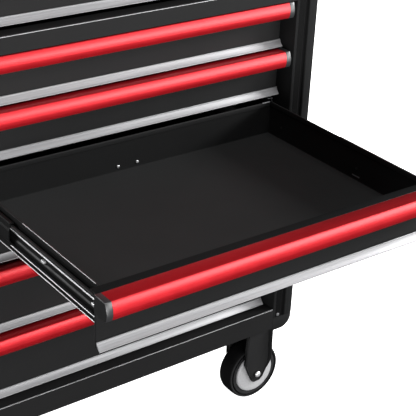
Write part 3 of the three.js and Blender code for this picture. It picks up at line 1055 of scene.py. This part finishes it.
def rigid_fork(word, node, centre):
    """Pressed fork of a rigid caster: two legs with turned edges under a plate, and the axle."""
    cx, cy, cz = centre
    top = corner(node, 1)[2]
    under = GUARD_LOW - 1.0
    for name, sign in ENDS:
        ends = sorted((cy + sign * LEG_INNER, cy + sign * LEG_OUTER))
        leg = prism(f"{word}_leg_{name}", leg_outline(cx, top, under), "y", *ends, FORK)
        bevel(leg, 1.2, 4, 50.0)
        put(settle(leg), "cabinet", "black_paint")
        rim = leg_rim(f"{word}_leg_rim_{name}", cx, cy, under, sign)
        put(rim, "cabinet", "black_paint")
        nut_side = [(0.0, 0.0), (NUT_R, 0.0), (NUT_R, sign * 1.0), (NUT_R - 0.8, sign * 1.2)]
        nut_side += [(NUT_R - 0.8, sign * NUT_UP), (0.0, sign * NUT_UP)]
        nut_y = cy + sign * (LEG_OUTER - 0.2)
        nut = turned(f"{word}_nut_{name}", nut_side, (cx, nut_y, cz), "y", FORK, 32)
        put(nut, "cabinet", "black_paint")
        base = (cx, nut_y + sign * 3.0, cz)
        head = dome(f"{word}_bolt_{name}", 5.4, 3.4, base, (0, sign, 0), CHROME)
        put(head, "cabinet", "zinc_steel")
    half_x, half_y = PLATE_HALF
    low, high = (cx - half_x, cy - half_y, top - PLATE_THICK), (cx + half_x, cy + half_y, top)
    plate = block(f"{word}_plate", low, high, FORK)
    bevel(plate, 0.6, 2)
    put(settle(plate), "cabinet", "black_paint", node)
    bar = [(0.0, -LEG_OUTER), (AXLE_R, -LEG_OUTER), (AXLE_R, LEG_OUTER), (0.0, LEG_OUTER)]
    put(turned(f"{word}_axle", bar, centre, "y", CHROME, 32), "cabinet", "zinc_steel")


for word, _ in ENDS:
    middle = wheel(f"rigid_{word}", f"rigid_wheel_{word}")
    rigid_fork(f"rigid_{word}", f"rigid_fork_{word}", middle)
    middle = wheel(f"swivel_{word}", f"swivel_wheel_{word}")
    for name, sign in ENDS:
        base = (middle[0], middle[1] + sign * (LEG_OUTER + 4.4), middle[2])
        head = dome(f"swivel_{word}_bolt_{name}", 6.2, 1.6, base, (0, sign, 0), CHROME, 0.5)
        put(head, f"swivel_{word}", "zinc_steel")

# ------------------------------------------------------- floor and lighting


FLOOR_DOWN = 0.0005  # metres under the wheels
FLOOR_SIZE = 12.0


def make_floor():
    """A white floor that shows to the camera but does not light the chest from below."""
    n = Nodes("floor_white")
    n.set(Roughness=1.0, Specular_IOR_Level=0.0)
    n.set(Emission_Color=(1.0, 1.0, 1.0, 1.0), Emission_Strength=1.0)
    color = (0.9, 0.9, 0.9)
    n.color(n.blend_colors(n.ramp(n.noise(3.0), 0.0, 1.0), color, scaled(color, 0.995)))
    bm = bmesh.new()
    bmesh.ops.create_grid(bm, x_segments=2, y_segments=2, size=FLOOR_SIZE)
    floor = new_object("floor", bm, n.material)
    floor.location.z = -FLOOR_DOWN
    floor.visible_glossy = False
    floor.visible_diffuse = False
    floor.visible_shadow = False


make_floor()


def bearing(azimuth, elevation):
    """The direction towards that azimuth and elevation, in degrees; 0, 0 is the front."""
    a, e = math.radians(azimuth), math.radians(elevation)
    return Vector((math.sin(a) * math.cos(e), -math.cos(a) * math.cos(e), math.sin(e)))


FOCUS = Vector((0.0, -0.2, 0.5))
# Each softbox: name, azimuth, elevation, distance, (width, height), power.
LIGHTS = (
    ("key", 40.0, 9.0, 3.2, (2.4, 1.0), 66.0),
    ("top_fill", -5.0, 58.0, 3.2, (2.4, 2.2), 66.0),
    ("side", 74.0, 19.0, 3.0, (0.7, 0.5), 105.0),
    ("low_fill", -20.0, -3.0, 2.6, (2.4, 0.5), 88.0),
    ("left_back", -128.0, 22.0, 3.0, (1.6, 1.2), 60.0),
    ("right_back", 176.0, 14.0, 3.2, (2.0, 1.4), 112.0),
    ("floor_bounce", -151.0, -30.0, 1.7, (2.0, 1.2), 2.8),
)
for name, azimuth, elevation, distance, size, power in LIGHTS:
    towards = bearing(azimuth, elevation)
    light = bpy.data.lights.new(name, "AREA")
    light.shape = "RECTANGLE"
    light.size, light.size_y = size
    light.energy = power
    lamp = bpy.data.objects.new(name, light)
    lamp.location = FOCUS + towards * distance
    lamp.rotation_euler = (-towards).to_track_quat("-Z", "Y").to_euler()
    bpy.context.scene.collection.objects.link(lamp)


def make_world():
    """A dim grey world that lights the chest, shown white to the camera."""
    world = bpy.data.worlds.new("studio")
    bpy.context.scene.world = world
    world.use_nodes = True
    tree = world.node_tree
    background = tree.nodes["Background"]
    background.inputs["Color"].default_value = (0.03, 0.03, 0.031, 1.0)
    white = tree.nodes.new("ShaderNodeBackground")
    white.inputs["Color"].default_value = (1.0, 1.0, 1.0, 1.0)
    white.inputs["Strength"].default_value = 1.2
    path = tree.nodes.new("ShaderNodeLightPath")
    mix = tree.nodes.new("ShaderNodeMixShader")
    tree.links.new(path.outputs["Is Camera Ray"], mix.inputs["Fac"])
    tree.links.new(background.outputs[0], mix.inputs[1])
    tree.links.new(white.outputs[0], mix.inputs[2])
    tree.links.new(mix.outputs[0], tree.nodes["World Output"].inputs["Surface"])


make_world()

# ------------------------------------------------------------------- camera

CAMERA_PLACE = (-0.8512, -1.3016, 1.2163)
CAMERA_AZIMUTH, CAMERA_ELEVATION, CAMERA_ROLL = -37.575, 26.861, 2.785
CAMERA_LENS, CAMERA_SENSOR = 103.93, 36.0


def make_camera():
    """A camera at the photo's angle, rolled a little about its own view."""
    back = bearing(CAMERA_AZIMUTH, CAMERA_ELEVATION)
    right = Vector((0, 0, 1)).cross(back).normalized()
    up = back.cross(right)
    roll = math.radians(CAMERA_ROLL)
    c, s = math.cos(roll), math.sin(roll)
    rolled_right = right * c + up * s
    rolled_up = up * c - right * s
    data = bpy.data.cameras.new("camera")
    data.lens = CAMERA_LENS
    data.sensor_width = CAMERA_SENSOR
    camera = bpy.data.objects.new("camera", data)
    turn = Matrix((rolled_right, rolled_up, back)).transposed().to_4x4()
    camera.matrix_world = Matrix.Translation(CAMERA_PLACE) @ turn
    bpy.context.scene.collection.objects.link(camera)
    bpy.context.scene.camera = camera


make_camera()
bpy.context.scene.view_settings.view_transform = "Standard"
